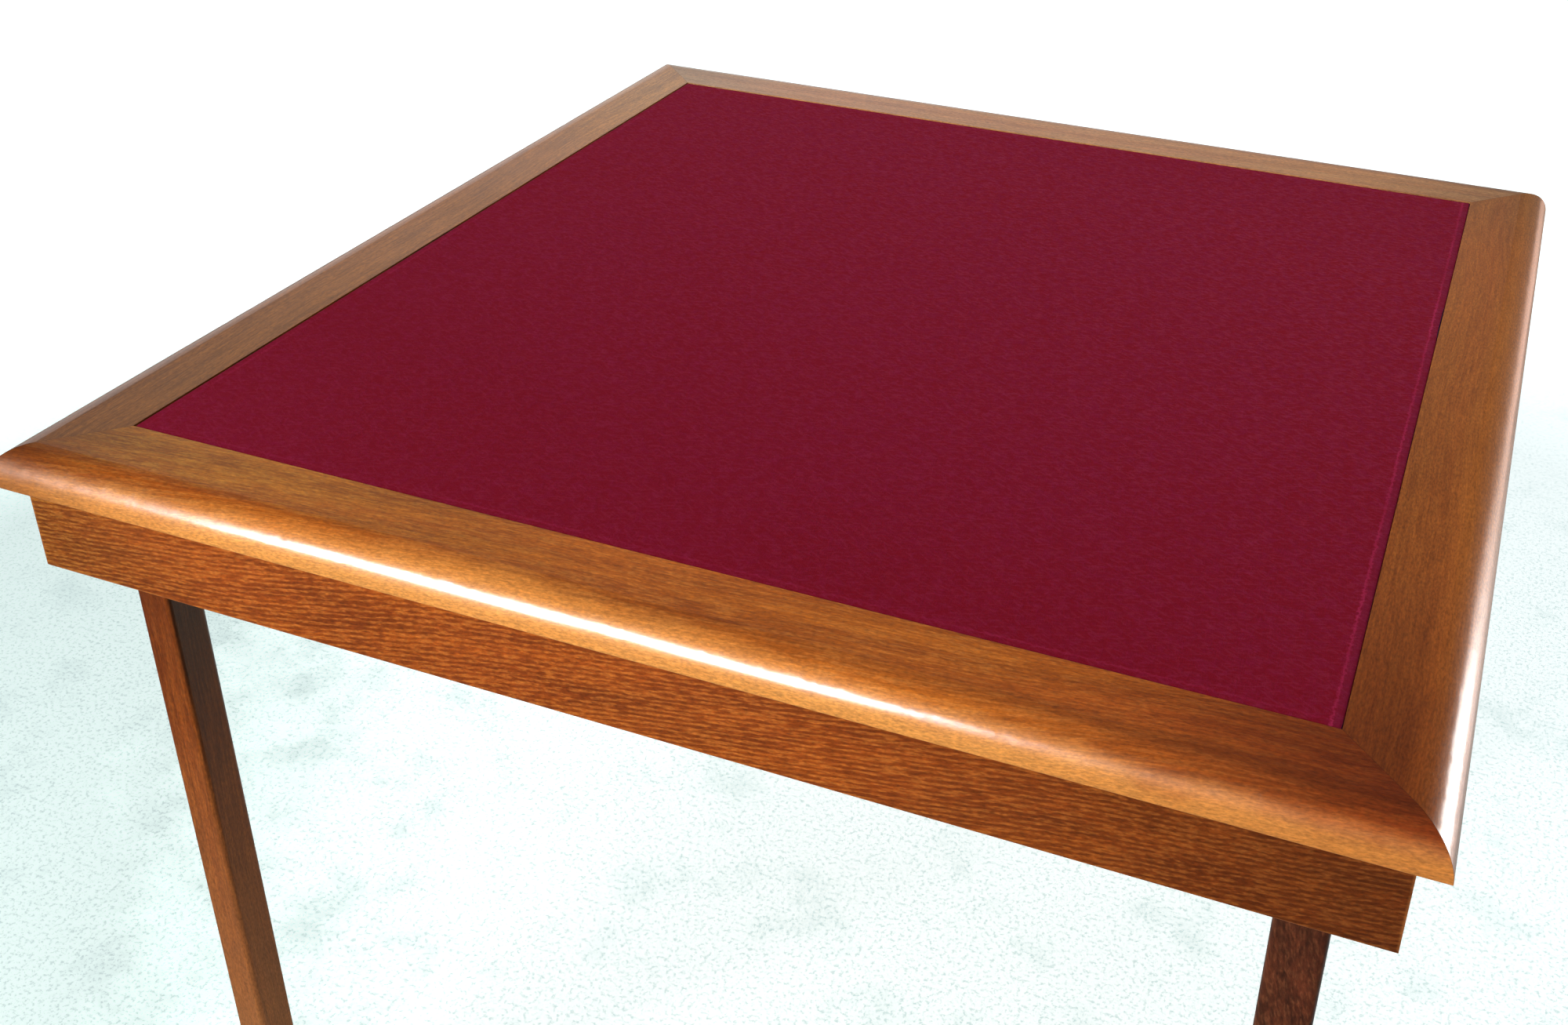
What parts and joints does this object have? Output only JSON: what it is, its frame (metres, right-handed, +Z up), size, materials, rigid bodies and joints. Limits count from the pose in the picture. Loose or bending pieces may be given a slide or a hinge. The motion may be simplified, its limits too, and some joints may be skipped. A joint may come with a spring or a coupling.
{
  "type": "folding card table",
  "caption": "Square wooden card table with a cloth-covered top, a moulded frame and legs that fold flat into the apron.",
  "frame": {"origin": "on the floor under the middle of the open table", "axes": "+Z up, +X to the right and -Y towards the near side in the picture"},
  "size_m": [0.859, 0.859, 0.7],
  "materials": {
    "stained_beech": "satin lacquer over a mahogany stain",
    "bare_beech": "planed and left bare",
    "plywood": "sanded, left bare",
    "baize": "short felted wool nap",
    "zinc_steel": "bright zinc plate",
    "spring_steel": "blued spring steel",
    "brass": "turned, bare",
    "nylon": "moulded, matt dark brown"
  },
  "bodies": {
    "top": {"front_rail": "stained_beech", "front_apron": "stained_beech", "right_rail": "stained_beech", "right_apron": "stained_beech", "back_rail": "stained_beech", "back_apron": "stained_beech", "left_rail": "stained_beech", "left_apron": "stained_beech", "mitre_splines": "plywood", "top_panel": "plywood", "baize": "baize", "panel_screws": "zinc_steel", "left_batten": "bare_beech", "right_batten": "bare_beech", "batten_screws": "zinc_steel", "apron_dowels": "bare_beech", "apron_screws": "zinc_steel", "glue_blocks": "bare_beech", "front_left_pivot_plate": "zinc_steel", "front_left_pivot_bolt": "zinc_steel", "front_left_leg_catch": "spring_steel", "front_left_stop_block": "stained_beech", "front_right_pivot_plate": "zinc_steel", "front_right_pivot_bolt": "zinc_steel", "front_right_leg_catch": "spring_steel", "front_right_stop_block": "stained_beech", "back_right_pivot_plate": "zinc_steel", "back_right_pivot_bolt": "zinc_steel", "back_right_leg_catch": "spring_steel", "back_right_stop_block": "stained_beech", "back_left_pivot_plate": "zinc_steel", "back_left_pivot_bolt": "zinc_steel", "back_left_leg_catch": "spring_steel", "back_left_stop_block": "stained_beech", "pivot_spacers": "zinc_steel", "pivot_washers": "zinc_steel", "pivot_nuts": "zinc_steel", "plate_screws": "zinc_steel", "catch_screws": "zinc_steel", "stop_screws": "zinc_steel"},
    "front_left_leg": {"front_left_leg": "stained_beech", "front_left_leg_bush": "brass", "front_left_glide": "nylon", "front_left_glide_screw": "zinc_steel"},
    "front_right_leg": {"front_right_leg": "stained_beech", "front_right_leg_bush": "brass", "front_right_glide": "nylon", "front_right_glide_screw": "zinc_steel"},
    "back_right_leg": {"back_right_leg": "stained_beech", "back_right_leg_bush": "brass", "back_right_glide": "nylon", "back_right_glide_screw": "zinc_steel"},
    "back_left_leg": {"back_left_leg": "stained_beech", "back_left_leg_bush": "brass", "back_left_glide": "nylon", "back_left_glide_screw": "zinc_steel"}
  },
  "joints": [
    {"name": "front_left_leg_fold", "type": "hinge", "parent": "top", "child": "front_left_leg", "pos_m": [-0.3695, -0.367, 0.64], "axis": [0, -1, 0], "range_deg": [0, 90], "deforming": ["front_left_leg_catch"]},
    {"name": "front_right_leg_fold", "type": "hinge", "parent": "top", "child": "front_right_leg", "pos_m": [0.367, -0.3695, 0.64], "axis": [1, 0, 0], "range_deg": [0, 90], "deforming": ["front_right_leg_catch"]},
    {"name": "back_right_leg_fold", "type": "hinge", "parent": "top", "child": "back_right_leg", "pos_m": [0.3695, 0.367, 0.64], "axis": [0, 1, 0], "range_deg": [0, 90], "deforming": ["back_right_leg_catch"]},
    {"name": "back_left_leg_fold", "type": "hinge", "parent": "top", "child": "back_left_leg", "pos_m": [-0.367, 0.3695, 0.64], "axis": [-1, 0, 0], "range_deg": [0, 90], "deforming": ["back_left_leg_catch"]}
  ]
}
